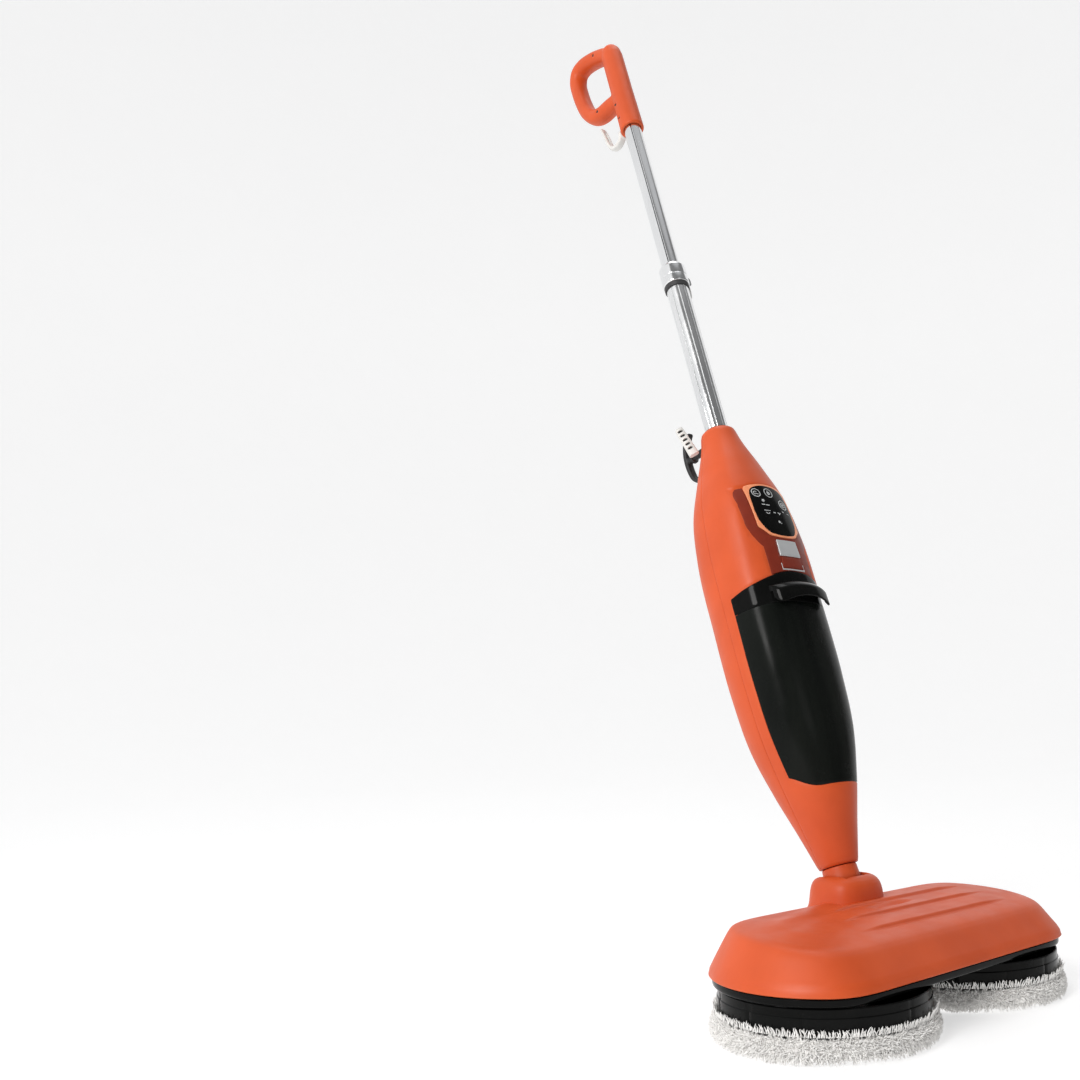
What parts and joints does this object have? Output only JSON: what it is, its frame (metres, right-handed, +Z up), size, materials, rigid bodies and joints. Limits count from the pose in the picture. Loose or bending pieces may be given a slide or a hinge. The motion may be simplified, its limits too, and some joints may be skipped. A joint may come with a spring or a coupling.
{
  "type": "steam mop",
  "caption": "Electric steam mop with two spinning round pads, hinged steering neck, body with water tank and touch panel, and a telescopic D-handle.",
  "frame": {"origin": "on the floor, at the centre of the whole object's bounding box seen from above", "axes": "+Z up, -Y towards the front of the mop (its panel and tank side), +X to the right-hand pad seen from the front"},
  "size_m": [0.434, 0.6282, 1.2453],
  "materials": {
    "orange_shell": "satin moulded shell, fine grain",
    "gloss_black": "polished black",
    "dark_plastic": "glass-filled nylon",
    "smoke_tank": "smoked clear tank wall, glossy",
    "maroon_trim": "dark red-brown satin gloss",
    "peach_trim": "bright edge line",
    "silver_plastic": "silver painted plastic",
    "chrome_tube": "polished bright aluminium",
    "steel": "machined steel",
    "white_plastic": "off-white moulded plastic",
    "nylon": "natural nylon",
    "microfibre": "looped microfibre pile",
    "rubber": "matt rubber",
    "circuit": "solder-masked board",
    "aluminium": "die-cast, unpainted"
  },
  "bodies": {
    "head": {"head_cover": "orange_shell", "chassis_tray": "gloss_black", "gear_plate": "steel", "steam_nozzle": "white_plastic", "head_steam_hose": "rubber", "pivot_bracket": "dark_plastic", "pivot_pin": "steel", "left_drive_motor": "steel", "right_drive_motor": "steel", "left_spindle_bush": "nylon", "right_spindle_bush": "nylon"},
    "left_pad": {"left_drive_gear": "nylon", "left_pad_spindle": "steel", "left_pad_disc": "gloss_black", "left_mop_pad": "microfibre"},
    "right_pad": {"right_drive_gear": "nylon", "right_pad_spindle": "steel", "right_pad_disc": "gloss_black", "right_mop_pad": "microfibre"},
    "left_pinion": {"left_motor_pinion": "steel"},
    "right_pinion": {"right_motor_pinion": "steel"},
    "neck": {"neck_link_left": "orange_shell", "neck_link_right": "orange_shell", "swivel_spigot": "dark_plastic"},
    "body": {"swivel_bush": "nylon", "rear_shell": "orange_shell", "front_shell": "orange_shell", "tank_cradle": "dark_plastic", "panel_trim": "maroon_trim", "panel_frame": "peach_trim", "panel_lens": "gloss_black", "circuit_board": "circuit", "steam_boiler": "aluminium", "water_pump": "dark_plastic", "tube_socket": "dark_plastic", "pump_hose": "rubber", "steam_hose": "rubber", "lower_tube": "chrome_tube", "clamp_collar": "silver_plastic", "clamp_pin": "steel", "cord_boot": "white_plastic"},
    "water_tank": {"tank_shell": "smoke_tank", "tank_lid": "gloss_black", "tank_valve": "rubber"},
    "silver_key": {"silver_button": "silver_plastic"},
    "red_key": {"red_button": "maroon_trim"},
    "lever": {"clamp_lever": "white_plastic"},
    "handle": {"upper_tube": "chrome_tube", "slide_bush": "nylon", "handle_left": "orange_shell", "handle_right": "orange_shell"},
    "upper_hook": {"upper_cord_hook": "white_plastic"},
    "lower_hook": {"lower_cord_hook": "dark_plastic"}
  },
  "joints": [
    {"name": "left_pad_spin", "type": "hinge", "parent": "head", "child": "left_pad", "pos_m": [-0.11, -0.20715, 0.03], "axis": [0, 0, 1], "continuous": true},
    {"name": "right_pad_spin", "type": "hinge", "parent": "head", "child": "right_pad", "pos_m": [0.11, -0.20715, 0.03], "axis": [0, 0, 1], "continuous": true},
    {"name": "left_pinion_spin", "type": "hinge", "parent": "head", "child": "left_pinion", "pos_m": [-0.0646, -0.20715, 0.06], "axis": [0, 0, 1], "continuous": true},
    {"name": "right_pinion_spin", "type": "hinge", "parent": "head", "child": "right_pinion", "pos_m": [0.0646, -0.20715, 0.06], "axis": [0, 0, 1], "continuous": true},
    {"name": "neck_pitch", "type": "hinge", "parent": "head", "child": "neck", "pos_m": [0, -0.14415, 0.11], "axis": [-1, 0, 0], "range_deg": [-18.3, 40]},
    {"name": "neck_steer", "type": "hinge", "parent": "neck", "child": "body", "pos_m": [0, -0.13724, 0.13089], "axis": [0, 0.314, 0.9494], "range_deg": [-90, 90]},
    {"name": "tank_slide", "type": "slide", "parent": "body", "child": "water_tank", "axis": [0, -0.9494, 0.314], "range_m": [0, 0.09]},
    {"name": "silver_button_press", "type": "slide", "parent": "body", "child": "silver_key", "axis": [0, 0.9494, -0.314], "range_m": [0, 0.002], "stiffness_N_per_m": 400},
    {"name": "red_button_press", "type": "slide", "parent": "body", "child": "red_key", "axis": [0, 0.9494, -0.314], "range_m": [0, 0.002], "stiffness_N_per_m": 400},
    {"name": "handle_extension", "type": "slide", "parent": "body", "child": "handle", "axis": [0, 0.314, 0.9494], "range_m": [-0.2, 0]},
    {"name": "clamp_lever_flip", "type": "hinge", "parent": "body", "child": "lever", "pos_m": [0.0196, 0.09951, 0.84675], "axis": [0, -0.9494, 0.314], "range_deg": [0, 100]},
    {"name": "upper_hook_swivel", "type": "hinge", "parent": "handle", "child": "upper_hook", "pos_m": [0, 0.20139, 1.09112], "axis": [0, 0.9494, -0.314], "range_deg": [-180, 180]},
    {"name": "lower_hook_swivel", "type": "hinge", "parent": "body", "child": "lower_hook", "pos_m": [0, 0.05389, 0.61327], "axis": [0, 0.9494, -0.314], "range_deg": [-180, 180]}
  ],
  "couplings": [
    {"joint": "right_pad_spin", "follows": "left_pad_spin", "ratio": -1},
    {"joint": "left_pinion_spin", "follows": "left_pad_spin", "ratio": -3},
    {"joint": "right_pinion_spin", "follows": "left_pad_spin", "ratio": 3}
  ]
}
